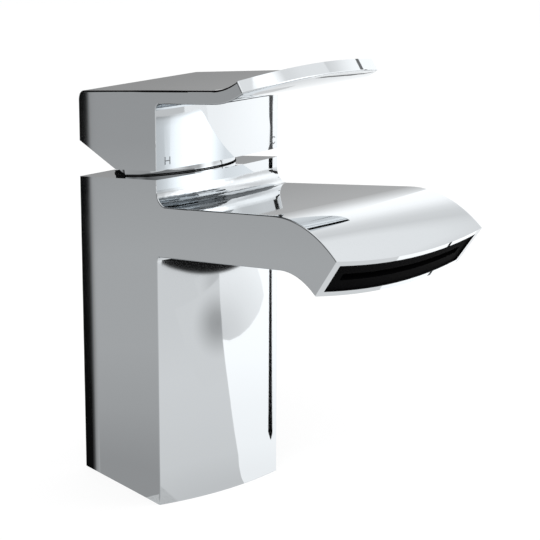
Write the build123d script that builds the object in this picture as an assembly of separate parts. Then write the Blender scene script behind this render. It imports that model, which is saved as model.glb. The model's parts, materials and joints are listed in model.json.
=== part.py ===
from build123d import *
import math
import os

# A one-hole waterfall mixer with a single lever, in millimetres and degrees.
# The origin is on the deck under the column, +Z is up, and the spout points towards -Y.
# The top of the column slopes up to the front. All that stands on it is drawn in a tilted frame,
# where x runs across, y runs to the rear along the slope, and z is the height above the slope.

# Column
tilt = 10.1  # slope of the column's top, which the cartridge, lever and spout share
rear_y = 22.7  # flat rear face
front_y = -22.1  # front corners
rear_half = 23.8  # half width at the rear face
front_half = 25.0  # half width at the front corners
tip_half = 29.0  # half width at tip_y, near the spout's end
tip_y = -111.0
side_blend_l = 18.3  # length over which the side faces bend, each side of the front corners
front_bow = 3.0  # how far the front face stands proud of its corners
column_h = 107.66  # height of the column's top on the swing axis
axis_y = 1.0  # where the swing axis meets the column's top
column_wall = 2.8
corner_r = 0.4  # broken edge of the column's upright corners

# Foot
block_h = 16.0  # brass block that closes the foot
block_step = 1.2  # shoulder in the column that the block meets
fit_gap = 0.1  # clearance all round pieces that are pushed in and soldered or glued
seal_w = 2.0
seal_h = 2.2
inlet_x = 7.0  # hot at -x, cold at +x
inlet_front = 3.4  # how far the inlets lie in front of the swing axis, on the seat
hose_thread_r = 4.5  # M10 x 1
hose_thread_l = 10.0
way_r = 2.8  # water way of each inlet
tube_r = 5.0
tube_bore_r = 3.4
tube_socket = 4.0  # depth of the tube's socket in the block
tube_floor = 2.0  # metal left above the tube under the seat
stud_y = 7.0
stud_r = 3.4  # M8
stud_l = 12.0

# Spout
spout_drop = 8.7  # spout's top below the column's top
spout_t = 16.6
spout_straight = 85.7  # from the swing axis to the start of the bend
spout_bend_r = 41.2
spout_turn = 45.1
end_turn = 3.0  # mouth's face leans back under the spout by this much more
spout_bow_r = 130.0  # bow of the mouth seen along its face
root_fillet_r = 4.5
under_fillet_r = 1.5
spout_wall = 2.1
mouth_recess = 0.6  # former behind the rim
former_t = 6.0
former_slot = 3.0
former_side = 3.5  # web left at each end of the former's slot
gasket_t = 1.5
gasket_w = 2.0

# Cartridge bore and neck
seat_floor = 4.5  # metal under the seat
housing_r = 17.0  # the cartridge
bore_gap = 0.3  # round the cartridge in its bore
thread_step = 1.7
thread_depth = 5.0
thread_gap = 0.2
neck_h = 2.6
neck_wall = 2.9
neck_edge_r = 0.4
bore_r = housing_r + bore_gap
thread_r = bore_r + thread_step  # M38 thread zone, drawn as a plain bore
nut_collar_r = housing_r
neck_bore_r = nut_collar_r + thread_gap
neck_r = neck_bore_r + neck_wall

# Cartridge
seat_gap = 0.3
slide_gap = 0.3  # between pieces that move on each other
turn_gap = 0.08  # running fit
film_gap = 0.05  # water film between the discs
pin_gap = 0.05
housing_wall = 1.5  # round the rotor
disc_wall = 1.8  # housing's wall round the discs
housing_cap_t = 1.5
shoulder_depth = 2.6
shoulder_w = 1.5  # what the nut holds the housing by
housing_neck_r = housing_r - shoulder_w
rotor_cavity_r = housing_neck_r - housing_wall
disc_cavity_r = housing_r - disc_wall
fixed_disc_r = disc_cavity_r - slide_gap
fixed_disc_t = 2.95
moving_disc_r = 11.3
moving_disc_t = 3.7
outlet_r = 2.9
mixing_r = 4.7
mixing_depth = 2.2
base_h = 11.7
outlet_lid = 1.5  # plastic over the side outlet
outlet_half_w = 3.0
outlet_h = 8.0
peg_r = 1.5
peg_x = 11.0
peg_y = 6.0
peg_l = 2.2
peg_gap = 0.1
inlet_seal_w = 1.5
inlet_seal_t = 1.5
carrier_r = 10.0
carrier_t = 4.6
carrier_flat = 8.5
carrier_peg_r = 1.1
carrier_peg_y = 6.4
carrier_peg_l = 1.2
rotor_neck_r = 10.5
rotor_flange_t = 2.2
rotor_leg_t = 2.8
rotor_leg_y = 6.0
rotor_leg_gap = 0.5  # above the moving disc
rotor_slot_y = 6.3
rotor_top = 3.0  # above the lift pin
o_ring_t = 1.2
o_ring_squeeze = 0.04
housing_groove_d = 1.0
housing_groove_up = 1.6  # groove above the top of the spout's water way
groove_play = 0.6  # groove taller than its ring
rotor_groove_d = 0.9
rotor_groove_up = 0.1  # groove above the housing's ceiling

# Spindle
pivot_h = 4.0  # lift pin above the column's top
arm_l = 7.6  # lift pin to the ball
ball_r = 2.3
arm_r = 1.7
spindle_w = 8.0
spindle_below = 3.2
spindle_end_gap = 0.5  # spindle's top below the end of its socket
pin_r = 1.5
pin_l = 19.6
pin_fit = 0.025  # the rotor holds the pin fast

# Retaining nut and limit ring
nut_h = 2.5
nut_slot_w = 3.0
nut_slot_d = 1.5
ring_groove_h = 1.0
ring_groove_d = 0.7
ring_groove_low = -0.1
limit_step = 1.0  # limit ring inside the housing's neck
limit_r = housing_neck_r - limit_step
limit_h = 1.9
limit_teeth = 12
limit_notch = 1.2
cap_gap = 0.05  # pieces that stand on each other

# Lever
lever_gap = 2.9  # above the column's top
lever_top = 28.8
plate_t = 4.4
ceiling_t = 4.0
skirt_wall = 2.6
lift_angle = 25.0
knee_y = -0.5  # where the skirt's underside turns up to the rear
curl_start = 60.0
curl_r = 36.3
curl_turn = 22.9
end_lean = 31.7  # lean of the plate's end face
lever_bow_r = 89.0
rear_round_r = 3.5
inner_round_r = 2.5
lever_edge_r = 0.6
boss_r = 7.5
boss_below = 11.8  # boss below the cavity's ceiling
socket_gap = 0.15
socket_above = 1.8
rib_half_w = 5.5
screw_h = 18.0
screw_r = 2.0
screw_l = 6.0
screw_gap = 0.1
screw_socket_r = 1.1
screw_socket_l = 2.5
plug_r = 3.0
plug_t = 1.0
plug_stem_l = 4.0
plug_gap = 0.1
mark_h = 2.6
mark_w = 2.0
mark_stroke = 0.34
mark_depth = 0.25
mark_up = 10.1  # marks above the column's top
hot_inset = 4.0  # from the corner of the front to the middle of the mark
cold_inset = 2.0
mark_z = column_h + mark_up
hot_x = hot_inset - front_half
cold_x = front_half - cold_inset

# Lengths of helper shapes
reach = 200.0  # longer than the object
inner_reach = 50.0  # longer than anything inside the column
over = 1.0  # how far a shape that is cut away runs on past the metal
touch = 0.2  # how near an edge lies to the place it is looked for
bow_reach = 9.0  # degrees past the end of a bend, so that the bowed end has metal to lose
way_reach = 12.0  # the same for the water way, which runs on past the metal

top_plane = Plane(
    origin=(0, axis_y, column_h),
    x_dir=(1, 0, 0),
    z_dir=(0, math.sin(math.radians(tilt)), math.cos(math.radians(tilt))),
)
side_plane = Plane(
    origin=(0, axis_y, column_h),
    x_dir=(0, math.cos(math.radians(tilt)), -math.sin(math.radians(tilt))),
    z_dir=(1, 0, 0),
)
front_bow_r = (front_half**2 + front_bow**2) / (2 * front_bow)
front_mid_y = front_y - front_bow


def on_slope(x, y, z):
    """A point of the tilted frame, in the object's frame."""
    return top_plane.from_local_coords(Vector(x, y, z))


def disc(radius, low, high, x=0.0, y=0.0):
    """A round piece standing on the slope from low to high."""
    cylinder = Cylinder(radius, high - low, align=(Align.CENTER, Align.CENTER, Align.MIN))
    return top_plane * Pos(x, y, low) * cylinder


def ring(outer, inner, low, high, x=0.0, y=0.0):
    return disc(outer, low, high, x, y) - disc(inner, low - over, high + over, x, y)


def bar(half_x, low_y, high_y, low, high, x=0.0):
    """A block in the tilted frame, between low_y and high_y and between low and high."""
    box = Box(2 * half_x, high_y - low_y, high - low, align=(Align.CENTER, Align.MIN, Align.MIN))
    return top_plane * Pos(x, low_y, low) * box


def upright(radius, low, high, x, y):
    """A vertical round piece."""
    cylinder = Cylinder(radius, high - low, align=(Align.CENTER, Align.CENTER, Align.MIN))
    return Pos(x, y, low) * cylinder


def above(height):
    """All that is higher over the slope than height."""
    return bar(reach, -reach, reach, height, height + reach)


def flared_plan(inset=0.0):
    """The long outline seen from above that column, spout and lever share."""
    far_y = tip_y - front_half
    far_half = front_half + (tip_half - front_half) * (front_y - far_y) / (front_y - tip_y)
    rear = rear_y - inset
    points = [
        (rear_half - inset, rear),
        (front_half - inset, front_y),
        (far_half - inset, far_y),
        (inset - far_half, far_y),
        (inset - front_half, front_y),
        (inset - rear_half, rear),
    ]
    face = make_face(Polyline(*points, close=True))
    bends = face.vertices().filter_by(lambda v: abs(v.Y - front_y) < touch)
    rear_way = math.atan2(front_half - rear_half, rear_y - front_y)
    front_way = math.atan2(tip_half - front_half, front_y - tip_y)
    return fillet(bends, side_blend_l / math.tan(abs(front_way - rear_way) / 2))


def column_plan(inset=0.0):
    """The column's outline: the shared sides and rear, with the bowed front."""
    bow = Pos(0, front_mid_y + front_bow_r) * Circle(front_bow_r - inset)
    return flared_plan(inset) & bow


def upright_solid(plan, low, high):
    return extrude(Pos(0, 0, low) * plan, amount=high - low)


def across(profile, half_width=reach):
    """A side outline, in the tilted frame, made solid across the object."""
    return extrude(side_plane * profile, amount=half_width, both=True)


def spout_point(radius, turn):
    """A point of the spout's bend, turned from its start, at a radius from its centre."""
    angle = math.radians(turn)
    centre_z = -spout_drop - spout_bend_r
    return (-spout_straight - radius * math.sin(angle), centre_z + radius * math.cos(angle))


def spout_profile(root_y, inset, turn):
    """The spout's side outline from root_y to a turn round its bend, drawn in by inset."""
    outer = spout_bend_r - inset
    inner = spout_bend_r - spout_t + inset
    top = ThreePointArc(spout_point(outer, 0), spout_point(outer, turn / 2), spout_point(outer, turn))
    under = ThreePointArc(spout_point(inner, turn), spout_point(inner, turn / 2), spout_point(inner, 0))
    root_top = (root_y, -spout_drop - inset)
    root_under = (root_y, -spout_drop - spout_t + inset)
    edges = [
        Line(root_top, top @ 0),
        top,
        Line(top @ 1, under @ 0),
        under,
        Line(under @ 1, root_under),
        Line(root_under, root_top),
    ]
    return make_face(edges)


def bow_cylinder(corner, forward, radius, half_chord, recess=0.0):
    """A large upright roller whose near side is the bowed end of a spout or lever.

    corner is the end face's corner and forward the way it faces, both in the side outline.
    """
    back = math.sqrt(radius**2 - half_chord**2)
    length = math.hypot(*forward)
    direction = Vector(0, forward[0] / length, forward[1] / length)
    axis_point = Vector(0, corner[0], corner[1]) - direction * back
    face_way = Vector(0, -direction.Z, direction.Y)
    roller = Plane(origin=axis_point, x_dir=(1, 0, 0), z_dir=face_way)
    return top_plane.location * roller.location * Cylinder(radius - recess, reach)


def spout_end(recess=0.0):
    """The roller that bounds the spout at its mouth, drawn back by recess."""
    angle = math.radians(spout_turn + end_turn)
    forward = (-math.cos(angle), -math.sin(angle))
    corner = spout_point(spout_bend_r, spout_turn)
    return bow_cylinder(corner, forward, spout_bow_r, tip_half, recess)


def nearest_edge(solid, point):
    return min(solid.edges(), key=lambda edge: edge.distance_to(Vector(*point)))


def round_upright_corners(solid):
    """Breaks the upright edges at the column outline's four corners."""
    corners = column_plan().vertices()
    corners = [v for v in corners if min(abs(v.Y - rear_y), abs(v.Y - front_y)) < touch]
    straight = [e for e in solid.edges().filter_by(Axis.Z) if e.geom_type == GeomType.LINE]
    picked = []
    for edge in straight:
        foot = edge.center()
        if any(math.hypot(foot.X - v.X, foot.Y - v.Y) < touch for v in corners):
            picked.append(edge)
    return fillet(picked, corner_r)


# Heights over the slope, from the top of the housing down to the seat
housing_top = neck_h
cavity_top = housing_top - housing_cap_t
flange_top = cavity_top - slide_gap
flange_low = flange_top - rotor_flange_t
carrier_top = flange_low - slide_gap
carrier_low = carrier_top - carrier_t
moving_low = carrier_low - moving_disc_t
fixed_top = moving_low - film_gap
base_top = fixed_top - fixed_disc_t
base_low = base_top - base_h
seat = base_low - seat_gap
disc_cavity_top = carrier_low + rotor_leg_gap
inlet_y = on_slope(0, -inlet_front, seat).Y
under_seat = seat - seat_floor
passage_top = -spout_drop - spout_wall
tube_top = on_slope(0, -inlet_front, seat).Z - tube_floor - tube_r * math.tan(math.radians(tilt))
housing_groove_r = housing_r - housing_groove_d
housing_groove_low = passage_top + housing_groove_up
housing_groove_high = housing_groove_low + o_ring_t + groove_play
housing_ring_low = housing_groove_low + groove_play / 2
rotor_groove_r = rotor_neck_r - rotor_groove_d
rotor_groove_low = cavity_top + rotor_groove_up
nut_groove_r = nut_collar_r - ring_groove_d

# Heights and places in the lever
cavity_ceiling = lever_top - ceiling_t
boss_low = cavity_ceiling - boss_below
socket_top = cavity_ceiling - socket_above
screw_slope = math.radians(tilt)
screw_rear = (rear_y - axis_y - screw_h * math.sin(screw_slope)) / math.cos(screw_slope)
plug_seat = screw_rear - plug_t - plug_r * math.tan(screw_slope)


def make_body_casting():
    """Column and spout: one casting with a core for the tubes, the bore and the spout's water way."""
    column = upright_solid(column_plan(), 0, reach) - above(0)
    spout = across(spout_profile(0, 0, spout_turn + bow_reach)) & spout_end()
    spout = spout & upright_solid(flared_plan(), 0, reach)
    body = column + spout
    root_z = -spout_drop
    slope = math.tan(math.radians(tilt))
    top_z = on_slope(0, 0, root_z).Z + (axis_y + root_z * math.sin(math.radians(tilt)) - front_mid_y) * slope
    under_z = top_z - spout_t / math.cos(math.radians(tilt))
    body = fillet(nearest_edge(body, (0, front_mid_y, top_z)), root_fillet_r)
    body = fillet(nearest_edge(body, (0, front_mid_y, under_z)), under_fillet_r)

    body = round_upright_corners(body)

    core = upright_solid(column_plan(column_wall), block_h, column_h) - above(under_seat)
    mouth = upright_solid(column_plan(column_wall - block_step), -over, block_h)
    body = body - core - mouth
    body = body - disc(bore_r, seat, over) - disc(thread_r, -thread_depth, over)
    way = across(spout_profile(-bore_r / 2, spout_wall, spout_turn + way_reach))
    way = way & upright_solid(flared_plan(spout_wall), 0, reach)
    body = body - way
    for x in (-inlet_x, inlet_x):
        body = body - upright(way_r, tube_top - over, column_h, x, inlet_y)
        body = body - upright(tube_r + fit_gap, block_h, tube_top, x, inlet_y)
        body = body - disc(peg_r + peg_gap, seat - peg_l, seat + over, math.copysign(peg_x, x), peg_y)
    return body


def make_inlet_block():
    """The foot's brass block, with two hose threads, two tube sockets and the stud's thread."""
    gap = column_wall - block_step + fit_gap
    block = upright_solid(column_plan(gap), seal_h, block_h)
    block = block + upright_solid(column_plan(gap + seal_w + fit_gap), 0, seal_h)
    for x in (-inlet_x, inlet_x):
        block = block - upright(hose_thread_r, -over, hose_thread_l, x, inlet_y)
        block = block - upright(tube_bore_r, 0, block_h, x, inlet_y)
        block = block - upright(tube_r + fit_gap, block_h - tube_socket, block_h + over, x, inlet_y)
    return block - upright(stud_r, -over, stud_l, 0, stud_y)


def make_base_seal():
    gap = column_wall - block_step + fit_gap
    seal = upright_solid(column_plan(gap), 0, seal_h)
    return seal - upright_solid(column_plan(gap + seal_w), -over, seal_h + over)


def make_feed_tube(x):
    tube = upright(tube_r, block_h - tube_socket, tube_top, x, inlet_y)
    return tube - upright(tube_bore_r, 0, column_h, x, inlet_y)


def make_flow_former():
    """The black insert behind the mouth's rim, with the slot that shapes the sheet of water."""
    gap = spout_wall + fit_gap
    former = across(spout_profile(-spout_straight / 2, gap, spout_turn + bow_reach))
    former = former & upright_solid(flared_plan(gap), 0, reach)
    former = (former & spout_end(mouth_recess)) - spout_end(mouth_recess + former_t)
    band = (spout_t - former_slot) / 2
    slot = across(spout_profile(-spout_straight / 2, band, spout_turn + way_reach))
    slot = slot & upright_solid(flared_plan(gap + former_side), 0, reach)
    return former - slot


def make_former_gasket():
    """A rubber frame between the former and the spout's water way."""
    gap = spout_wall + fit_gap
    start = mouth_recess + former_t + cap_gap
    gasket = across(spout_profile(-spout_straight / 2, gap, spout_turn + bow_reach))
    gasket = gasket & upright_solid(flared_plan(gap), 0, reach)
    gasket = (gasket & spout_end(start)) - spout_end(start + gasket_t)
    opening = across(spout_profile(-spout_straight / 2, gap + gasket_w, spout_turn + way_reach))
    opening = opening & upright_solid(flared_plan(gap + gasket_w), 0, reach)
    return gasket - opening


def make_cartridge_base():
    """Plastic foot of the cartridge: two inlets through it, and one outlet to its front."""
    base = disc(housing_r, base_low, base_top)
    for x in (-inlet_x, inlet_x):
        base = base - disc(way_r, base_low - over, base_top + over, x, -inlet_front)
        seat_r = way_r + inlet_seal_w
        base = base - disc(seat_r, base_low - over, seat + inlet_seal_t, x, -inlet_front)
        peg = disc(peg_r, seat - peg_l + peg_gap, base_low + over, math.copysign(peg_x, x), peg_y)
        base = base + peg
    outlet_top = base_top - outlet_lid
    outlet = bar(outlet_half_w, -inner_reach, 0, outlet_top - outlet_h, outlet_top)
    drop = disc(outlet_r, outlet_top - outlet_h, base_top + over)
    return base - outlet - drop


def make_inlet_seal(x):
    return ring(way_r + inlet_seal_w, way_r, seat, seat + inlet_seal_t, x, -inlet_front)


def make_fixed_disc():
    plate = disc(fixed_disc_r, base_top, fixed_top)
    for x in (-inlet_x, inlet_x):
        plate = plate - disc(way_r, base_top - over, fixed_top + over, x, -inlet_front)
    return plate - disc(outlet_r, base_top - over, fixed_top + over)


def make_moving_disc():
    """Its hollow underside joins the inlets to the outlet, and the carrier's pegs drive it."""
    plate = disc(moving_disc_r, moving_low, carrier_low)
    plate = plate - disc(mixing_r, moving_low - over, moving_low + mixing_depth)
    for y in (-carrier_peg_y, carrier_peg_y):
        low = carrier_low - carrier_peg_l - fit_gap
        plate = plate - disc(carrier_peg_r + fit_gap, low, carrier_low + over, 0, y)
    return plate


def make_disc_carrier():
    carrier = disc(carrier_r, carrier_low, carrier_top)
    carrier = carrier & bar(carrier_flat, -inner_reach, inner_reach, carrier_low - over, carrier_top + over)
    for y in (-carrier_peg_y, carrier_peg_y):
        carrier = carrier + disc(carrier_peg_r, carrier_low - carrier_peg_l, carrier_low + over, 0, y)
    return carrier - disc(ball_r + slide_gap, carrier_low - over, carrier_top + over)


def make_housing():
    """Plastic shell of the cartridge, with a wide part for the discs and a neck for the rotor."""
    shell = disc(housing_r, base_top, -shoulder_depth) + disc(housing_neck_r, base_top, housing_top)
    shell = shell - disc(disc_cavity_r, base_top - over, disc_cavity_top)
    shell = shell - disc(rotor_cavity_r, base_top, cavity_top)
    shell = shell - disc(rotor_neck_r + turn_gap, base_top, housing_top + over)
    return shell - ring(housing_r + over, housing_groove_r, housing_groove_low, housing_groove_high)


def make_o_ring(inner, outer, low):
    """A rubber ring, squared off by the groove that it fills."""
    return ring(outer, inner, low, low + o_ring_t)


def make_rotor():
    """The guide that turns with the lever: a flange, a neck, two legs and a slot for the spindle."""
    top = pivot_h + rotor_top
    rotor = disc(rotor_neck_r, flange_low, top) + disc(rotor_cavity_r - slide_gap, flange_low, flange_top)
    inner = carrier_flat + slide_gap
    for side in (-1, 1):
        middle = side * (inner + rotor_leg_t / 2)
        leg = bar(rotor_leg_t / 2, -rotor_leg_y, rotor_leg_y, disc_cavity_top, flange_top, middle)
        rotor = rotor + leg
    slot_half = spindle_w / 2 + socket_gap
    rotor = rotor - bar(slot_half, -rotor_slot_y, rotor_slot_y, flange_low - over, top + over)
    rotor = rotor - lift_pin(pin_r + pin_fit, 2 * rotor_cavity_r)
    return rotor - ring(rotor_neck_r + over, rotor_groove_r, rotor_groove_low, rotor_groove_low + o_ring_t)


def lift_pin(radius, length):
    pin = Rot(0, 90, 0) * Cylinder(radius, length)
    return top_plane * Pos(0, 0, pivot_h) * pin


def make_pivot_pin():
    return lift_pin(pin_r, pin_l)


def make_spindle():
    """Square above the lift pin, where the lever sits on it, and a ball-ended arm below."""
    bar_low = pivot_h - spindle_below
    spindle_top = socket_top - spindle_end_gap
    half = spindle_w / 2
    spindle = bar(half, -half, half, bar_low, spindle_top)
    spindle = spindle + disc(arm_r, pivot_h - arm_l, bar_low + over)
    spindle = spindle + top_plane * Pos(0, 0, pivot_h - arm_l) * Sphere(ball_r)
    return spindle - lift_pin(pin_r + pin_gap, 2 * spindle_w)


def make_retaining_nut():
    """Brass ring that screws into the column and holds the cartridge down by its shoulder."""
    low = thread_gap / 2 - thread_depth
    shoulder_top = cap_gap - shoulder_depth
    nut = disc(thread_r - thread_gap, low, -thread_gap) + disc(nut_collar_r, low, nut_h)
    nut = nut - disc(housing_r + thread_gap, low - over, shoulder_top)
    nut = nut - disc(housing_neck_r + thread_gap, low - over, nut_h + over)
    for turn in range(0, 180, 45):
        slot = Box(2 * reach, nut_slot_w, nut_slot_d + over, align=(Align.CENTER, Align.CENTER, Align.MIN))
        nut = nut - top_plane * Rot(0, 0, turn) * Pos(0, 0, nut_h - nut_slot_d) * slot
    return nut - ring(nut_collar_r + over, nut_groove_r, ring_groove_low, ring_groove_low + ring_groove_h)


def make_neck_ring():
    neck = ring(neck_r, neck_bore_r, 0, neck_h)
    rim = neck.edges().filter_by(GeomType.CIRCLE).sort_by(lambda e: e.radius + e.arc_center.Z)[-1]
    return fillet(rim, neck_edge_r)


def make_limit_ring():
    """Toothed ring on the housing that limits how far the lever turns to hot."""
    low = housing_top + cap_gap
    limit = ring(limit_r, rotor_neck_r + slide_gap, low, low + limit_h)
    for tooth in range(limit_teeth):
        tall = limit_h + 2 * over
        notch = Box(limit_notch, limit_notch, tall, align=(Align.CENTER, Align.CENTER, Align.MIN))
        place = Rot(0, 0, tooth * 360 / limit_teeth) * Pos(limit_r, 0, low - over)
        limit = limit - top_plane * place * notch
    return limit


def curl_point(radius, turn):
    """A point of the lever's upward curl, turned from its start."""
    angle = math.radians(turn)
    return (-curl_start - radius * math.sin(angle), lever_top + curl_r - radius * math.cos(angle))


def make_lever_blank():
    """The lever's outside: the long plate that curls up at its end, and the skirt."""
    turn = curl_turn + bow_reach
    top = ThreePointArc(curl_point(curl_r, 0), curl_point(curl_r, turn / 2), curl_point(curl_r, turn))
    low_r = curl_r + plate_t
    under = ThreePointArc(curl_point(low_r, turn), curl_point(low_r, turn / 2), curl_point(low_r, 0))
    rear = 2 * rear_y
    rear_top = (rear, lever_top)
    rear_low = (rear, lever_top - plate_t)
    edges = [
        Line(rear_top, top @ 0),
        top,
        Line(top @ 1, under @ 0),
        under,
        Line(under @ 1, rear_low),
        Line(rear_low, rear_top),
    ]
    lean = math.radians(end_lean)
    forward = (-math.cos(lean), math.sin(lean))
    corner = curl_point(curl_r, curl_turn)
    end_half = front_half + (tip_half - front_half) / 2
    plate = across(make_face(edges)) & bow_cylinder(corner, forward, lever_bow_r, end_half)
    plate = plate & upright_solid(flared_plan(), 0, reach)
    skirt = across(make_face(Polyline(*skirt_outline(lever_top - plate_t / 2), close=True)))
    skirt = skirt & upright_solid(column_plan(), 0, reach)
    return plate + skirt


def skirt_outline(top):
    """Level over the column's front, then cut up to the rear at the angle that the lever lifts."""
    far = reach / 2
    rise = far * math.tan(math.radians(lift_angle))
    rear = knee_y + far
    return [(-far, top), (-far, lever_gap), (knee_y, lever_gap), (rear, lever_gap + rise), (rear, top)]


def front_edge_point(height):
    """A point on the skirt's front, in the middle, at a height over the slope."""
    slope = math.radians(tilt)
    y = (front_mid_y - axis_y - height * math.sin(slope)) / math.cos(slope)
    return on_slope(0, y, height)


def rear_edge_point(height):
    slope = math.radians(tilt)
    y = (rear_y - axis_y - height * math.sin(slope)) / math.cos(slope)
    return on_slope(0, y, height)


def top_side_edges(blank):
    """The edges along both sides of the lever's top, and up the sides of its end face."""
    picked = []
    for edge in blank.edges():
        place = top_plane.to_local_coords(edge.center())
        if abs(place.X) > rear_half and place.Z > lever_top - touch and edge.length > over:
            picked.append(edge)
    return picked


def make_lever_handle():
    """The casting: hollow under the skirt, with a square socket for the spindle and a screw hole."""
    blank = make_lever_blank()
    blank = fillet(nearest_edge(blank, rear_edge_point(lever_top)), rear_round_r)
    blank = fillet(nearest_edge(blank, front_edge_point(lever_top - plate_t)), inner_round_r)
    blank = fillet(top_side_edges(blank), lever_edge_r)
    blank = round_upright_corners(blank)
    cavity = upright_solid(column_plan(skirt_wall), 0, reach) - above(cavity_ceiling)
    lever = blank - cavity
    boss = disc(boss_r, boss_low, cavity_ceiling + over)
    rib = bar(rib_half_w, 0, inner_reach, boss_low, cavity_ceiling + over) & blank
    lever = lever + boss + rib
    half = spindle_w / 2 + socket_gap
    lever = lever - bar(half, -half, half, boss_low - over, socket_top)
    lever = lever - screw_hole(screw_r + screw_gap, spindle_w / 2, reach)
    return lever - screw_hole(plug_r + plug_gap, plug_seat, reach)


def screw_hole(radius, start, length):
    """A round piece lying along the slope, from start towards the rear."""
    cylinder = Cylinder(radius, length, align=(Align.CENTER, Align.CENTER, Align.MIN))
    return top_plane * Pos(0, start, screw_h) * Rot(-90, 0, 0) * cylinder


def make_grub_screw():
    start = spindle_w / 2 + cap_gap
    screw = screw_hole(screw_r, start, screw_l)
    return screw - screw_hole(screw_socket_r, start + screw_l - screw_socket_l, screw_socket_l + over)


def make_screw_plug():
    """Small cover in the rear face, trimmed flush with it."""
    stem = screw_hole(screw_r, plug_seat - plug_stem_l, plug_stem_l + plug_t)
    head = screw_hole(plug_r, plug_seat, reach)
    outside = Pos(0, rear_y, 0) * Box(reach, reach, 2 * reach, align=(Align.CENTER, Align.MIN, Align.CENTER))
    return stem + head - outside


def stroke(x, z, wide, tall):
    """One straight stroke of a letter, seen from the front."""
    return Pos(x, z) * Rectangle(wide, tall)


def hot_letter():
    side = (mark_w - mark_stroke) / 2
    uprights = stroke(-side, 0, mark_stroke, mark_h) + stroke(side, 0, mark_stroke, mark_h)
    return uprights + stroke(0, 0, mark_w, mark_stroke)


def cold_letter():
    outer = Ellipse(mark_w / 2, mark_h / 2)
    inner = Ellipse(mark_w / 2 - mark_stroke, mark_h / 2 - mark_stroke)
    return outer - inner - Pos(mark_w / 2, 0) * Rectangle(mark_w, mark_h / 2)


def make_mark(letter, x):
    """A letter as a thin fill in the skirt's bowed front."""
    front_plane = Plane(origin=(x, 0, mark_z), x_dir=(1, 0, 0), z_dir=(0, -1, 0))
    prism = extrude(front_plane * letter, amount=reach)
    centre = Pos(0, front_mid_y + front_bow_r)
    skin = centre * Cylinder(front_bow_r, 3 * reach) - centre * Cylinder(front_bow_r - mark_depth, 4 * reach)
    return prism & skin


def make_all():
    """Every piece of the object, by name."""
    pieces = {
        "body_casting": make_body_casting(),
        "inlet_block": make_inlet_block(),
        "base_seal": make_base_seal(),
        "hot_feed_tube": make_feed_tube(-inlet_x),
        "cold_feed_tube": make_feed_tube(inlet_x),
        "spout_flow_former": make_flow_former(),
        "former_gasket": make_former_gasket(),
        "cartridge_base": make_cartridge_base(),
        "inlet_seals": Compound(children=[make_inlet_seal(-inlet_x), make_inlet_seal(inlet_x)]),
        "fixed_disc": make_fixed_disc(),
        "moving_disc": make_moving_disc(),
        "disc_carrier": make_disc_carrier(),
        "cartridge_housing": make_housing(),
        "housing_o_ring": make_o_ring(housing_groove_r, bore_r - o_ring_squeeze, housing_ring_low),
        "rotor": make_rotor(),
        "rotor_o_ring": make_o_ring(rotor_groove_r, rotor_neck_r + o_ring_squeeze, rotor_groove_low),
        "pivot_pin": make_pivot_pin(),
        "spindle": make_spindle(),
        "retaining_nut": make_retaining_nut(),
        "neck_ring": make_neck_ring(),
        "neck_ring_o_ring": ring(neck_bore_r, nut_groove_r, ring_groove_low, ring_groove_low + ring_groove_h),
        "hot_limit_ring": make_limit_ring(),
        "grub_screw": make_grub_screw(),
        "screw_plug": make_screw_plug(),
    }
    hot = make_mark(hot_letter(), hot_x)
    cold = make_mark(cold_letter(), cold_x)
    pieces["lever_handle"] = make_lever_handle() - hot - cold
    pieces["hot_mark"] = hot
    pieces["cold_mark"] = cold
    return pieces


os.makedirs("parts", exist_ok=True)
for name, piece in make_all().items():
    export_step(piece, "parts/" + name + ".step")
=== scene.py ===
# %% [markdown]
# # A chromed waterfall mixer, dressed for its picture
# The CAD model gives every piece its true size and place, down to the cartridge's discs. This
# lesson loads it as a fixed frame, gives each piece the finish of the real metal, rubber, ceramic
# or plastic, and builds a small photo studio round it. All lengths are metres, +Z is up, and the
# spout points towards -Y.

# %% Load the frame
import json
import math

import bpy
from mathutils import Matrix, Vector


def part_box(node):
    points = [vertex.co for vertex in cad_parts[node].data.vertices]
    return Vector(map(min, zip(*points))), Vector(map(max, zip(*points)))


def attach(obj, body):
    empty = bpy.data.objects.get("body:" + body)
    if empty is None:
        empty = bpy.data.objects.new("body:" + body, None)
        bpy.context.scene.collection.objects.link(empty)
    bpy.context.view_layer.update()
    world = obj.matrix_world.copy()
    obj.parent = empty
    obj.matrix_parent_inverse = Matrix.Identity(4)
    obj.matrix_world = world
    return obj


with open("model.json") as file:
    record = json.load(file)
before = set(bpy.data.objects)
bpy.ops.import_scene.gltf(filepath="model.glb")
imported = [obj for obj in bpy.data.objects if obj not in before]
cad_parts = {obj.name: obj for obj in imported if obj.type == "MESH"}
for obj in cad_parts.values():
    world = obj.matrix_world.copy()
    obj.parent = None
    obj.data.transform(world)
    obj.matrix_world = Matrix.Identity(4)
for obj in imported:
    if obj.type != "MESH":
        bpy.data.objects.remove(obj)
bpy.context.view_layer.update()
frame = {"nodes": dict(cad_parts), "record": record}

nodes = frame["nodes"]
mm = 0.001

# %% [markdown]
# ## The camera
# The photograph was taken from the front left and a little above, through a long lens, so upright
# edges stay nearly parallel. Its place was fitted to the straight edges of the object: the turn
# round the object, the tilt, the roll, the distance and the focal length together. A camera could
# also be aimed by a Track To constraint, but a matrix keeps the small roll.

# %% Camera
camera_turn = math.radians(39.057)
camera_tilt = math.radians(16.898)
camera_roll = math.radians(0.145)
camera_distance = 792.8 * mm
aim_right, aim_up = 30.99 * mm, 71.92 * mm
sensor_mm = 36.0
focal_px, photo_px = 2348.4, 540
focal_mm = focal_px / photo_px * sensor_mm

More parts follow.
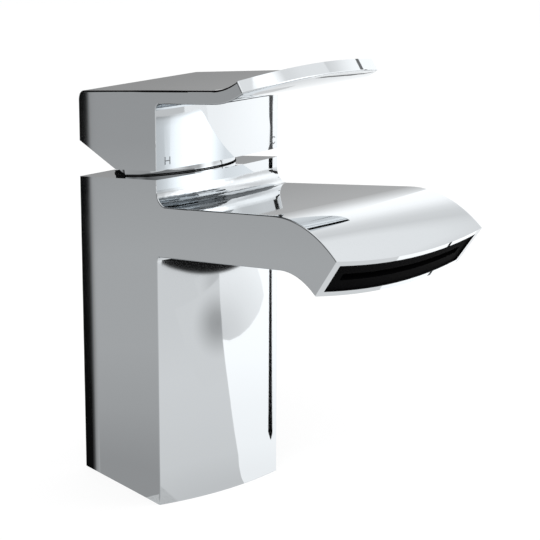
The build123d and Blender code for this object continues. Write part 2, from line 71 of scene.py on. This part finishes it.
back = Vector((
    -math.sin(camera_turn) * math.cos(camera_tilt),
    -math.cos(camera_turn) * math.cos(camera_tilt),
    math.sin(camera_tilt),
))
level_right = Vector((math.cos(camera_turn), -math.sin(camera_turn), 0))
level_up = back.cross(level_right)
right = math.cos(camera_roll) * level_right + math.sin(camera_roll) * level_up
up = math.cos(camera_roll) * level_up - math.sin(camera_roll) * level_right
eye = level_right * aim_right + Vector((0, 0, aim_up)) + back * camera_distance

bpy.ops.object.select_all(action="DESELECT")
bpy.ops.object.camera_add()
camera = bpy.context.object
camera.name = "studio_camera"
camera.data.sensor_width = sensor_mm
camera.data.lens = focal_mm
camera.data.clip_start, camera.data.clip_end = 0.01, 20
camera.matrix_world = Matrix((
    (right.x, up.x, back.x, eye.x),
    (right.y, up.y, back.y, eye.y),
    (right.z, up.z, back.z, eye.z),
    (0, 0, 0, 1),
))
bpy.context.scene.camera = camera
print("camera at", [round(v, 3) for v in eye], "lens", round(focal_mm, 1), "mm")

# %% [markdown]
# ## Two small helpers for materials
# Colours are written as the sRGB hex values that a colour picker shows, but a shader wants linear
# light, so one function turns the first into the second. A second function adds a node, sets its
# values and links its inputs, which keeps every material readable as a short list.


# %% Material helpers
def linear(hex_colour):
    """An sRGB hex colour as linear red, green, blue and alpha."""
    parts = [int(hex_colour[i:i + 2], 16) / 255 for i in (1, 3, 5)]
    return [p / 12.92 if p <= 0.04045 else ((p + 0.055) / 1.055) ** 2.4 for p in parts] + [1]


def add_node(tree, kind, settings=(), stops=(), **inputs):
    """Adds a node, sets its properties and colour stops, and gives its inputs a value or a link.

    An input is named as in Blender, with _ for a space, or by its number, as i0.
    """
    node = tree.nodes.new("ShaderNode" + kind)
    for key, value in dict(settings).items():
        setattr(node, key, value)
    for index, (position, colour) in enumerate(stops):
        elements = node.color_ramp.elements
        stop = elements[index] if index < 2 else elements.new(position)
        grey = isinstance(colour, float)
        stop.position, stop.color = position, (colour, colour, colour, 1) if grey else colour
    for key, value in inputs.items():
        numbered = key[0] == "i" and key[1:].isdigit()
        socket = node.inputs[int(key[1:]) if numbered else key.replace("_", " ")]
        if isinstance(value, bpy.types.NodeSocket):
            tree.links.new(value, socket)
        else:
            socket.default_value = value
    return node


def new_material(name):
    material = bpy.data.materials.new(name)
    material.use_nodes = True
    material.node_tree.nodes.clear()
    return material, material.node_tree


def finish(tree, shader):
    add_node(tree, "OutputMaterial", Surface=shader.outputs[0])


def object_place(tree):
    """The point on the piece, in metres, which stays with the piece when it moves."""
    return add_node(tree, "TexCoord").outputs["Object"]


finishes = {}

# %% [markdown]
# ## Polished chrome
# The column, the lever, the ring under it and the cover plug are brass, polished, plated with
# nickel and then with a very thin layer of chromium. To the eye that is a mirror: it shows its
# surroundings, a little cooler and darker than they are, and a mirror seen in a mirror is darker
# again, which draws the crisp dark lines in the hollows. A metal shader of chromium's own grey with
# very low roughness gives most of that. The boards it mirrors are also dimmed in the third mirror
# and beyond, which is painted shade that deepens those lines. Hand polishing leaves the mirror not
# quite even, so a slow noise varies it.

# %% Polished chrome
haze_size = 14 * mm

chrome, tree = new_material("polished_chrome_plate")
haze = add_node(tree, "TexNoise", Vector=object_place(tree), Scale=1 / haze_size, Detail=3.0)
rough = add_node(tree, "MapRange", Value=haze.outputs["Fac"], To_Min=0.02, To_Max=0.045)
finish(tree, add_node(
    tree,
    "BsdfPrincipled",
    Base_Color=linear("#dadee1"),
    Metallic=1.0,
    Roughness=rough.outputs[0],
))
finishes["polished_chrome"] = chrome
print("made", chrome.name)

# %% [markdown]
# ## Cut and drawn metals
# The foot's inlet block, the retaining nut and the spindle are free-cutting brass as it leaves the
# lathe: bare yellow metal with fine rings from the tool. The feed tubes are drawn copper, with
# faint lines along the pull and a thin, patchy brown tarnish. The pin and the grub screw are ground
# stainless steel. All three are one recipe: a metal whose colour varies a little between two shades
# and whose roughness and bump follow the marks of the tool. A brushed picture could be used
# instead, but it would need its own layout on each piece, while a pattern in the piece's own space
# fits all.


# %% Cut and drawn metals
def tooled_metal(name, pale, dark, roughness, mark_size, mark_stretch):
    """A bare metal with tool marks of mark_size, whose pattern is scaled by mark_stretch."""
    tarnish_size, mark_depth = 6 * mm, 0.02 * mm
    metal, tree = new_material(name)
    place = object_place(tree)
    patch = add_node(tree, "TexNoise", Vector=place, Scale=1 / tarnish_size, Detail=4.0)
    colour = add_node(
        tree,
        "ValToRGB",
        stops=[(0.35, linear(pale)), (0.7, linear(dark))],
        Fac=patch.outputs["Fac"],
    )
    stretched = add_node(tree, "Mapping", Vector=place, Scale=mark_stretch)
    marks = add_node(tree, "TexNoise", Vector=stretched.outputs[0], Scale=1 / mark_size, Detail=2.0)
    rough = add_node(
        tree, "MapRange", Value=marks.outputs["Fac"], To_Min=roughness * 0.7, To_Max=roughness * 1.3
    )
    bump = add_node(tree, "Bump", Height=marks.outputs["Fac"], Strength=0.3, Distance=mark_depth)
    finish(tree, add_node(
        tree,
        "BsdfPrincipled",
        Base_Color=colour.outputs[0],
        Metallic=1.0,
        Roughness=rough.outputs[0],
        Normal=bump.outputs[0],
    ))
    print("made", metal.name)
    return metal


finishes["raw_brass"] = tooled_metal(
    "turned_brass", "#e0c27c", "#c9a55c", 0.26, 0.25 * mm, (0.05, 0.05, 1)
)
finishes["copper_tube"] = tooled_metal(
    "drawn_copper", "#da9a75", "#b06f4c", 0.3, 0.3 * mm, (1, 1, 0.04)
)
finishes["stainless_steel"] = tooled_metal(
    "ground_stainless_steel", "#c8c7c4", "#b4b3b0", 0.22, 0.2 * mm, (0.06, 1, 1)
)

# %% [markdown]
# ## Moulded plastics and rubber
# The flow former in the spout's mouth is black ABS, drawn darker and duller than the plastic as
# painted shade for the inside of the mouth, the hot limit ring red ABS, the cartridge's shell grey
# glass-filled nylon, its moving guides white acetal, and the seals black nitrile rubber.
# Each was moulded, so each carries the fine spark-eroded grain of its mould, and differs in colour,
# gloss and grain. One function makes them all: a plastic with a fine noise as its bump and a slower
# noise that makes the gloss uneven. The grain is drawn at 0.3 mm, about twice the real one, because
# the real one would be too fine to show.


# %% Moulded plastics and rubber
def moulded(name, colour, roughness, grain_size=0.3 * mm, grain_depth=0.05 * mm, gloss=0.5):
    """A moulded plastic or rubber with the fine grain of its mould."""
    wear_size, wear_change = 8 * mm, 0.06
    plastic, tree = new_material(name)
    place = object_place(tree)
    grain = add_node(tree, "TexNoise", Vector=place, Scale=1 / grain_size, Detail=2.0)
    bump = add_node(
        tree, "Bump", Height=grain.outputs["Fac"], Strength=0.25, Distance=grain_depth
    )
    wear = add_node(tree, "TexNoise", Vector=place, Scale=1 / wear_size, Detail=3.0)
    rough = add_node(
        tree,
        "MapRange",
        Value=wear.outputs["Fac"],
        To_Min=roughness - wear_change,
        To_Max=roughness + wear_change,
    )
    finish(tree, add_node(
        tree,
        "BsdfPrincipled",
        Base_Color=linear(colour),
        Roughness=rough.outputs[0],
        Specular_IOR_Level=gloss,
        Normal=bump.outputs[0],
    ))
    print("made", plastic.name)
    return plastic


# Part of this near-black, nearly glossless colour is painted shade for the inside of the spout's
# mouth.
finishes["black_plastic"] = moulded("black_abs_with_mouth_shade", "#030304", 0.8, gloss=0.03)
finishes["red_plastic"] = moulded("moulded_red_abs", "#b3231f", 0.4)
finishes["cartridge_plastic"] = moulded("moulded_grey_nylon", "#8f9498", 0.5, grain_depth=0.08 * mm)
finishes["guide_plastic"] = moulded("moulded_white_acetal", "#e6e4dc", 0.35)
finishes["black_rubber"] = moulded("moulded_nitrile_rubber", "#0f0f10", 0.75, gloss=0.3)

# %% [markdown]
# ## Lapped ceramic
# The two discs that meter the water are sintered alumina, lapped so flat that they seal without
# rubber. To the eye they are a warm white that is dull at the rim, with very faint grey specks left
# by the pressing. The specks are a noise cut off high, so that only its peaks show.

# %% Lapped ceramic
speck_size, lapping_size = 0.4 * mm, 3 * mm

alumina, tree = new_material("lapped_alumina_ceramic")
place = object_place(tree)
specks = add_node(tree, "TexNoise", Vector=place, Scale=1 / speck_size, Detail=2.0)
colour = add_node(
    tree,
    "ValToRGB",
    stops=[(0.6, linear("#ece7db")), (0.75, linear("#cbc7bd"))],
    Fac=specks.outputs["Fac"],
)
lapping = add_node(tree, "TexNoise", Vector=place, Scale=1 / lapping_size, Detail=3.0)
rough = add_node(tree, "MapRange", Value=lapping.outputs["Fac"], To_Min=0.18, To_Max=0.3)
finish(tree, add_node(
    tree,
    "BsdfPrincipled",
    Base_Color=colour.outputs[0],
    IOR=1.76,
    Roughness=rough.outputs[0],
))
finishes["alumina_ceramic"] = alumina
print("made", alumina.name)

# %% [markdown]
# ## Enamel of the hot and cold marks
# The two marks are shallow engravings wiped full of a grey enamel. The enamel is softer than the
# chrome and a little hollow and dusty in the stroke, so its shade wanders slightly.

# %% Enamel of the marks
dust_size = 0.5 * mm

enamel, tree = new_material("filled_engraving_enamel")
dust = add_node(tree, "TexNoise", Vector=object_place(tree), Scale=1 / dust_size, Detail=2.0)
colour = add_node(
    tree,
    "ValToRGB",
    stops=[(0.35, linear("#5f6367")), (0.7, linear("#7b7f83"))],
    Fac=dust.outputs["Fac"],
)
finish(tree, add_node(tree, "BsdfPrincipled", Base_Color=colour.outputs[0], Roughness=0.45))
finishes["mark_paint"] = enamel
print("made", enamel.name)

# %% [markdown]
# ## Every piece gets its finish
# The record names a material slot for each piece, so one loop dresses them all. Setting them by
# hand would work too, but would miss a piece that is added later.

# %% Give the finishes to the CAD nodes
for part in frame["record"]["subparts"]:
    mesh = nodes[part["node"]].data
    mesh.materials.clear()
    mesh.materials.append(finishes[part["material_slot"]])

# %% [markdown]
# ## A black bead under the neck ring, for the shade of its gap
# Under the chromed ring lies a thin bead with the black rubber finish. It is painted shade: it
# stands for the dark gap between the ring and the column, and from the side it shows as a fine
# black line.
# It is a plain round bead on the sloping top of the column, so a torus at its place is nearly
# enough: it is pressed flat below, where it meets the casting.

# %% Black bead for the shade under the neck ring
slope = math.radians(10.1)
column_top = Vector((0, 1.0, 107.66)) * mm  # where the ring's axis meets the sloping top
bead_r = 0.3 * mm
bead_inset = 0.02 * mm  # how much of the bead's own radius is tucked under the ring
bead_rise = 0.15 * mm
bead_flat = 0.05 * mm  # height of the bead's flat underside over the casting's top

neck_low, neck_high = (Vector(corner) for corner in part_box("neck_ring"))
neck_r = (neck_high.x - neck_low.x) / 2
slope_up = Vector((0, math.sin(slope), math.cos(slope)))

bpy.ops.object.select_all(action="DESELECT")
bpy.ops.mesh.primitive_torus_add(
    major_radius=neck_r - bead_inset,
    minor_radius=bead_r,
    major_segments=160,
    minor_segments=16,
    location=column_top + slope_up * bead_rise,
    rotation=(-slope, 0, 0),
)
neck_shade_bead = bpy.context.object
neck_shade_bead.name = "neck_ring_shade_bead"
bpy.ops.object.transform_apply(location=True, rotation=True, scale=True)
for vertex in neck_shade_bead.data.vertices:
    sunk = bead_flat - (vertex.co - column_top).dot(slope_up)
    if sunk > 0:
        vertex.co += slope_up * sunk
bpy.ops.object.shade_smooth()
# Its black finish paints the shade of the gap under the ring.
neck_shade_bead.data.materials.append(finishes["black_rubber"])
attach(neck_shade_bead, "tap_body")
print("neck seal radius in mm:", round(neck_r / mm, 2), "bead", round(2 * bead_r / mm, 2))

# %% [markdown]
# ## The studio
# A white floor, soft lamps and a white world light the mixer evenly. The lamps are hidden from the
# chrome, because it would show them as bright squares that the photograph doesn't have. The floor
# is partly self-lit where the camera or the chrome sees it, which makes it white and still lets the
# mixer's soft shadow show.

# %% Floor
floor_half = 6.0
floor_glow = 0.75

bpy.ops.mesh.primitive_plane_add(size=2 * floor_half)
floor = bpy.context.object
floor.name = "studio_floor"


def seen_directly(tree):
    """1 for what the camera, a mirror or glass sees, and 0 for light on its way to the object."""
    path = add_node(tree, "LightPath")
    most = {"operation": "MAXIMUM"}
    camera_or_metal = add_node(
        tree, "Math", most, i0=path.outputs["Is Camera Ray"], i1=path.outputs["Is Glossy Ray"]
    )
    glass = path.outputs["Is Transmission Ray"]
    return add_node(tree, "Math", most, i0=camera_or_metal.outputs[0], i1=glass).outputs[0]


paper, tree = new_material("white_backdrop_paper")
matt = add_node(tree, "BsdfPrincipled", Base_Color=linear("#fafafa"), Roughness=0.9)
glow = add_node(tree, "Emission", Color=(1, 1, 1, 1), Strength=1.0)
share = add_node(tree, "Math", {"operation": "MULTIPLY"}, i0=seen_directly(tree), i1=floor_glow)
mix = add_node(tree, "MixShader", Fac=share.outputs[0], i1=matt.outputs[0], i2=glow.outputs[0])
finish(tree, mix)
floor.data.materials.append(paper)
print("floor", 2 * floor_half, "m wide")

# %% [markdown]
# ## The white world
# The world shows pure white behind the mixer, and lights it a little less, so that the soft lamps
# still model the plastics and the floor's shadow.

# %% World
ambient_level = 0.85
world = bpy.data.worlds.new("studio_world")
world.use_nodes = True
bpy.context.scene.world = world
tree = world.node_tree
tree.nodes.clear()
ambient = add_node(tree, "Background", Color=(1, 1, 1, 1), Strength=ambient_level)
backdrop = add_node(tree, "Background", Color=(1, 1, 1, 1), Strength=1.0)
seen = seen_directly(tree)
mix = add_node(tree, "MixShader", Fac=seen, i1=ambient.outputs[0], i2=backdrop.outputs[0])
add_node(tree, "OutputWorld", Surface=mix.outputs[0])
print("world lights at", ambient_level)

# %% [markdown]
# ## Two soft lamps
# A key lamp from the front left and a fill lamp from the right, as large squares, give the floor a
# soft shadow. A sun lamp would be simpler, but its shadow would be hard-edged.


# %% Lamps
lamp_size = 0.9
key_power, fill_power = 9, 5
mixer_middle = Vector((0, -30, 70)) * mm


def lamp(name, place, power):
    """A soft square lamp that looks at the middle of the mixer."""
    bpy.ops.object.light_add(type="AREA", location=place)
    light = bpy.context.object
    light.name = name
    light.data.size = lamp_size
    light.data.energy = power
    light.rotation_euler = (mixer_middle - Vector(place)).to_track_quat("-Z", "Y").to_euler()
    light.visible_glossy = False


lamp("key_lamp", (-0.7, -0.6, 1.1), key_power)
lamp("fill_lamp", (0.9, -0.5, 0.8), fill_power)
print("lamps hung: 2")

# %% [markdown]
# ## Boards that only the chrome sees
# A chromed thing has no colour of its own: its form comes from what it mirrors. Photographers stand
# grey, black and glowing boards round it for that. Here the boards lie on the floor and stand round
# the studio, and only glossy rays see them. Each place was found by following the camera's line of
# sight over the mirror to the floor or the wall, as one would with a real mirror. A board's
# brightness is a level, where 1 is white; a soft box is brighter than white, as in a real studio.

# %% Board helpers
board_lift = 0.04 * mm  # between one layer of boards and the next
top_level = 2.5  # the brightest a board can be
# The boards' light is cut in the third mirror and beyond: painted shade that deepens the hollows.
hollow_shade_light_left = 0.3  # share of the light that is left in the deepest mirrors
last_bright_mirror, first_deep_mirror = 2.0, 3.0


def ramp(tree, value, stops):
    """A level that follows value along stops of (value, level), from the lowest to the highest."""
    low, high = stops[0][0], stops[-1][0]
    share = add_node(tree, "MapRange", Value=value, From_Min=low, From_Max=high).outputs[0]
    ordered = [stops[0], stops[-1]] + stops[1:-1]  # a new ramp has its first and last stop
    scaled = [((v - low) / (high - low), level / top_level) for v, level in ordered]
    return add_node(tree, "ValToRGB", stops=scaled, Fac=share).outputs[0]


def glow_of(tree, shade, strength=top_level):
    """A glowing paint, dimmed in the third mirror and beyond as painted shade that deepens the
    hollows.
    """
    bounces = add_node(tree, "LightPath").outputs["Glossy Depth"]
    light = add_node(
        tree,
        "MapRange",
        Value=bounces,
        From_Min=last_bright_mirror,
        From_Max=first_deep_mirror,
        To_Min=strength,
        To_Max=hollow_shade_light_left * strength,
    )
    return add_node(tree, "Emission", Color=shade, Strength=light.outputs[0])


def only_for_mirrors(sheet):
    sheet.visible_camera = False
    sheet.visible_diffuse = False
    sheet.visible_shadow = False
    sheet.visible_transmission = False


def board(name, corners, colour, layer=1):
    """A board that only shiny things see, through corners in mm, on the floor or with a height."""
    bpy.ops.mesh.primitive_circle_add(vertices=len(corners), fill_type="NGON")
    plane = bpy.context.object
    plane.name = name
    lift = Vector((0, 0, layer * board_lift))
    for vertex, corner in zip(plane.data.vertices, corners):
        vertex.co = Vector((*corner, 0)[:3]) * mm + lift
    material, tree = new_material(name + "_paint")
    finish(tree, colour(tree))
    plane.data.materials.append(material)
    only_for_mirrors(plane)


# %% [markdown]
# ## Paints for the boards
# Photographers use plain card, card that fades from a spot, and card with a soft edge. These are
# the same three: each is a function that fills in a board's material.


# %% Board paints
black = 0.004  # level of black velvet


def plain(level):
    """A board of one brightness."""
    return lambda tree: glow_of(tree, (level, level, level, 1), 1.0)


def graded(stops, centre=(0, 0)):
    """A board whose level changes with the distance in mm from a point on the floor."""

    def colour(tree):
        middle = Vector((*centre, 0)) * mm
        place = object_place(tree)
        gap = add_node(tree, "VectorMath", {"operation": "DISTANCE"}, i0=place, i1=middle)
        metres = [(distance * mm, level) for distance, level in stops]
        return glow_of(tree, ramp(tree, gap.outputs["Value"], metres))

    return colour


def edged(stops, point, along):
    """A board whose level changes with the distance in mm to the left of a line on the floor."""

    def colour(tree):
        way = Vector((*along, 0)).normalized()
        across = Vector((-way.y, way.x, 0))
        start = Vector((*point, 0)) * mm
        place = object_place(tree)
        offset = add_node(tree, "VectorMath", {"operation": "SUBTRACT"}, i0=place, i1=start)
        side = add_node(
            tree, "VectorMath", {"operation": "DOT_PRODUCT"}, i0=offset.outputs[0], i1=across
        )
        metres = [(distance * mm, level) for distance, level in stops]
        return glow_of(tree, ramp(tree, side.outputs["Value"], metres))

    return colour


# %% [markdown]
# ## Beside and behind
# The column's left side mirrors the floor to its left rear. A grey board there gives it its even
# grey, and a black strip past its soft edge gives the black line along the rear corner. Two soft
# grey boards fill the floor behind and on the left, for the sides that the photograph doesn't show.

# %% Boards beside and behind the mixer
side_foot = (-34, 34)
side_way = (-291, 476)
side_start, side_length = -40, 1900
rear_strip = -14  # where the black rear board ends, off the side line
soft_low, soft_high = -2.5, 2.1  # the soft edge's two sides, off the side line


def beside(distance, offset):
    """A floor point that far along the side line, and so far to the left of it, in mm."""
    way = Vector(side_way).normalized()
    return (
        side_foot[0] + distance * way.x - offset * way.y,
        side_foot[1] + distance * way.y + offset * way.x,
    )


def side_strip(low, high):
    """The corners of a strip along the side line, between two offsets from it."""
    return [
        beside(side_start, low), beside(side_length, low), beside(side_length, high),
        beside(side_start, high),
    ]


board(
    "grey_side_board",
    [beside(side_start, 0), beside(side_length, 0), (-2400, -300), (-26, -60)],
    graded([
        (40, 0.37), (90, 0.445), (130, 0.475), (160, 0.494), (290, 0.494), (330, 0.475),
        (400, 0.449), (450, 0.424), (500, 0.403), (700, 0.39),
    ]),
)
board("black_rear_board", side_strip(0, rear_strip), plain(black))
board(
    "soft_rear_board",
    [
        beside(side_start, rear_strip), beside(side_length, rear_strip), (1500, 1700), (1500, 60),
        (26, 16),
    ],
    edged(
        [(-1300, 0.95), (-500, 0.7), (-220, 0.62), (-90, 0.45), (-40, 0.2), (rear_strip, 0.01)],
        side_foot,
        side_way,
    ),
)
board(
    "soft_left_board",
    [(-28, -16), (-26, -60), (-2400, -300), (-2400, -2400), (-300, -1400), (-60, -340)],
    graded([(30, 0.42), (90, 0.5), (260, 0.62), (700, 0.75), (1600, 0.9)]),
)
board(
    "soft_edge_board",
    side_strip(soft_low, soft_high),
    edged(
        [(soft_low, black), (-0.3, 0.006), (0.4, 0.09), (1.0, 0.33), (soft_high, 0.47)],
        side_foot,
        side_way,
    ),
    layer=2,
)
print("side boards laid")

# %% [markdown]
# ## In front
# The column's front mirrors the floor to the right in front of it: a pale board on the left of a
# long diagonal, a white one on its right, soft grey patches that are a painted shadow of the spout
# on that floor, a black board far off that shows as the dark lens under the spout, and a thin black
# cord in four pieces.

# %% Boards in front of the mixer
diagonal = [
    (9, -25), (11.5, -28.5), (14, -31.5), (19.5, -38), (26, -45), (35, -56.5), (47, -73), (60, -92),
    (72, -111), (96, -152), (110, -174), (124, -198), (152, -240),
]
patch_start = 9  # the point of the diagonal where the soft patch begins
shade_start, shade_way = (29, -295), (301, 166)

board(
    "pale_front_board",
    [(-30, -14), (0, -14), *diagonal, (-60, -340)],
    graded([(30, 0.72), (55, 0.8), (95, 0.83), (140, 0.85), (210, 0.82), (320, 0.82)]),
)
# The next three boards are a painted shadow of the spout on the floor, which the column's front
# mirrors.
board(
    "soft_shade_board",
    [(40, -115), (160, -115), (160, -225), (40, -225)],
    graded(
        [(0, 0.44), (14, 0.5), (26, 0.64), (38, 0.78), (46, 0.84), (90, 0.84)],
        centre=(102, -174),
    ),
    layer=3,
)
board(
    "far_shade_board",
    [(90, -190), (170, -190), (170, -250), (90, -250)],
    graded([(0, 0.68), (10, 0.7), (24, 0.79), (34, 0.84), (60, 0.84)], centre=(128, -222)),
    layer=2,
)
board(
    "white_front_board",
    [(0, -8), (30, -8), (330, -100), (300, -240), *reversed(diagonal)],
    graded([(36, 1.16), (60, 1.22), (100, 1.26), (150, 1.34), (230, 1.4)]),
    layer=4,
)
board(
    "spout_shadow_patch_board",
    [
        diagonal[patch_start], (104, -144), (120, -137), (141, -131), (170, -127), (194, -130),
        (207, -145), (218, -165), (230, -230), *reversed(diagonal[patch_start + 1:]),
    ],
    graded(
        [(0, 0.84), (30, 0.92), (56, 1.04), (85, 1.13), (112, 1.22), (130, 1.25)],
        centre=(100, -160),
    ),
    layer=5,
)
board(
    "black_front_board",
    [(29, -294), (330, -126), (400, -190), (140, -334), (60, -318), (33, -303)],
    edged([(-400, black), (-2.5, 0.01), (0, 0.3), (2.5, 0.78)], shade_start, shade_way),
    layer=6,
)
board(
    "far_white_board",
    [(190, -260), (330, -150), (620, -240), (560, -420), (300, -560)],
    graded([(0, 1.38), (120, 1.34), (330, 1.2), (500, 1.18)], centre=(560, -260)),
)
board(
    "far_grey_board",
    [(60, -410), (150, -410), (330, -1100), (100, -1100)],
    graded([(400, 0.6), (650, 0.74), (1100, 0.85)]),
)
near_cord = [(49, -36.8), (56, -39.4), (240, -134.7), (240, -140.4), (56, -42.4)]
far_cord = [(420, -219), (410, -240), (555, -313), (565, -292)]
cord_start = [(372, -197), (366, -213), far_cord[1], far_cord[0]]
cord_end = [far_cord[3], far_cord[2], (880, -500), (900, -482)]
board("near_cord_board", near_cord, plain(black), layer=7)
board("far_cord_board", far_cord, plain(0.1), layer=7)
board("cord_start_board", cord_start, plain(black), layer=7)
board("cord_end_board", cord_end, plain(black), layer=7)
print("front boards laid")

# %% [markdown]
# ## To the right
# The lever's and the spout's right parts mirror the floor on their right: white, with a grey wedge
# and a thin dark line. One more board is black, and shows only in a mirror that is seen in a
# mirror.


# %% Boards on the right
past_first_mirror = 1.5  # between the first mirror's depth, 1, and the second's


def second_mirror(level):
    """A board that is clear in the first mirror, for a dark line under the spout's bend only."""

    def colour(tree):
        bounces = add_node(tree, "LightPath").outputs["Glossy Depth"]
        deeper = {"operation": "GREATER_THAN"}
        deep = add_node(tree, "Math", deeper, i0=bounces, i1=past_first_mirror).outputs[0]
        clear = add_node(tree, "BsdfTransparent")
        dark = plain(level)(tree)
        return add_node(tree, "MixShader", Fac=deep, i1=clear.outputs[0], i2=dark.outputs[0])

    return colour


board(
    "white_right_board",
    [(100, 18), (420, -18), (700, 500), (120, 420)],
    graded([(120, 0.84), (150, 0.98), (200, 1.1), (300, 1.2), (700, 1.1)]),
    layer=2,
)
board("grey_wedge_board", [(126, 60), (150, 58), (160, 100), (138, 130)], plain(0.74), layer=3)
board("dark_line_board", [(142, 20), (145, 16.5), (195, 62), (191, 66)], plain(0.2), layer=4)
board(
    "edge_line_board",
    [(126, -112), (160, -102), (168, -146), (124, -150)],
    second_mirror(black),
    layer=8,
)
print("right boards laid")

# %% [markdown]
# ## Boards that stand round the studio
# What the sloping and upright faces mirror stands further away, in a ring of curved boards. Two
# gradients give each board its light: one up the board, and one round it. They were read off the
# long soft gradient on the top of the spout and off the lever's bright front.

# %% Standing boards
ring_radius = 1.2
ring_height = 2.2
strip_degrees = 4  # width of the flat strips that make up a curved board


def standing(name, start, end, rise, around=((0, 1.0), (1, 1.0)), foot=0.0):
    """A curved board between two compass directions, in degrees from +Y towards +X.

    rise is its level at heights in metres, and around is a factor from its start to its end. Its
    lower edge is at foot.
    """
    steps = max(2, round(abs(end - start) / strip_degrees))
    bpy.ops.mesh.primitive_grid_add(x_subdivisions=steps, y_subdivisions=1, size=1)
    curve = bpy.context.object
    curve.name = name
    shares = curve.data.attributes.new("around", "FLOAT", "POINT")
    for vertex in curve.data.vertices:
        share = vertex.co.x + 0.5
        shares.data[vertex.index].value = share
        turn = math.radians(start + share * (end - start))
        height = foot + (vertex.co.y + 0.5) * (ring_height - foot)
        vertex.co = (ring_radius * math.sin(turn), ring_radius * math.cos(turn), height)
    material, tree = new_material(name + "_paint")
    height = add_node(tree, "SeparateXYZ", i0=object_place(tree)).outputs["Z"]
    upward = ramp(tree, height, list(rise))
    share = add_node(tree, "Attribute", {"attribute_name": "around"}).outputs["Fac"]
    sideways = ramp(tree, share, list(around))
    both = add_node(tree, "VectorMath", {"operation": "MULTIPLY"}, i0=upward, i1=sideways)
    finish(tree, glow_of(tree, both.outputs[0], top_level * top_level))
    curve.data.materials.append(material)
    only_for_mirrors(curve)


spout_rise = [
    (0.0, 0.26), (0.055, 0.325), (0.085, 0.41), (0.11, 0.5), (0.173, 0.58), (0.237, 0.63),
    (0.3, 0.7), (0.366, 0.78), (0.433, 0.9), (0.5, 1.03), (0.573, 1.17), (0.647, 1.28),
    (0.765, 1.34), (0.894, 1.28), (0.988, 1.16), (1.089, 1.0), (1.2, 0.88), (1.32, 0.83),
    (1.456, 1.03), (2.2, 1.12),
]
shared_height = 0.7  # above it, the white board has the spout board's levels
white_rise = [(0.0, 1.3)] + [stop for stop in spout_rise if stop[0] > shared_height]
standing("grey_right_board", 29, 47, spout_rise)
standing("bright_right_board", 47, 112, white_rise)
standing(
    "soft_box_board",
    112,
    180,
    [(0.0, 0.62), (0.2, 0.66), (0.34, 0.85), (0.5, 1.0), (0.95, 1.0), (1.1, 0.75), (2.2, 0.72)],
    [
        (0, 1.4), (0.2, 1.4), (0.31, 1.3), (0.37, 1.3), (0.43, 1.7), (0.49, 2.1), (0.65, 2.1),
        (0.69, 1.95), (0.72, 1.8), (0.765, 1.5), (0.81, 1.08), (0.87, 0.78), (1, 0.85),
    ],
)
black_rise = [(0.0, black), (1.0, 0.008), (1.3, 0.35), (2.2, 0.9)]
corner_foot = 0.13
corner_rise = [(corner_foot, black), *black_rise[1:]]
standing("black_rear_wall", -31.3, 29, black_rise)
standing("black_corner_wall", 28.9, 37.3, corner_rise, foot=corner_foot)
standing(
    "grey_left_board",
    -180,
    -31.3,
    [(0.0, 1.0), (0.16, 1.0), (0.22, 0.3), (0.5, 0.35), (0.8, 1.0), (2.2, 1.6)],
    [
        (0, 0.85), (0.07, 0.7), (0.155, 0.9), (0.27, 0.95), (0.44, 0.78), (0.54, 0.6),
        (0.605, 0.48), (0.7, 0.34), (0.84, 0.2), (0.93, 0.3), (1, 0.42),
    ],
)
print("standing boards:", round(2 * ring_radius, 1), "m across")

# %% [markdown]
# ## A black pole
# A thin black pole leans in front of the standing boards. It shows as the short dark line in the
# hollow where the spout leaves the column. Each row is a height in metres and the pole's left and
# right edge there, as compass directions in degrees.

# %% A thin black pole from the floor up
pole_radius = 0.98 * ring_radius
pole = [
    (0, 119.2, 121.4),
    (0.16, 116.9, 119.2),
    (0.36, 113.6, 115.8),
    (0.52, 108.2, 110.6),
    (0.9, 88, 92),
]
pole_levels = [0.02, 0.02, 0.02, 0.2]


def pole_point(turn, height):
    """A point on the pole in mm, from a compass direction and a height in metres."""
    angle = math.radians(turn)
    return (pole_radius * math.sin(angle) / mm, pole_radius * math.cos(angle) / mm, height / mm)


for below, above, level in zip(pole, pole[1:], pole_levels):
    (low, low_left, low_right), (high, high_left, high_right) = below, above
    corners = [
        pole_point(low_left, low), pole_point(low_right, low), pole_point(high_right, high),
        pole_point(high_left, high),
    ]
    board(f"black_pole_board_{low}", corners, plain(level))

print("pole pieces:", len(pole_levels))

# %% [markdown]
# ## The view, and the end
# The plain Standard view keeps white paper white.

# %% View settings
bpy.context.scene.view_settings.view_transform = "Standard"
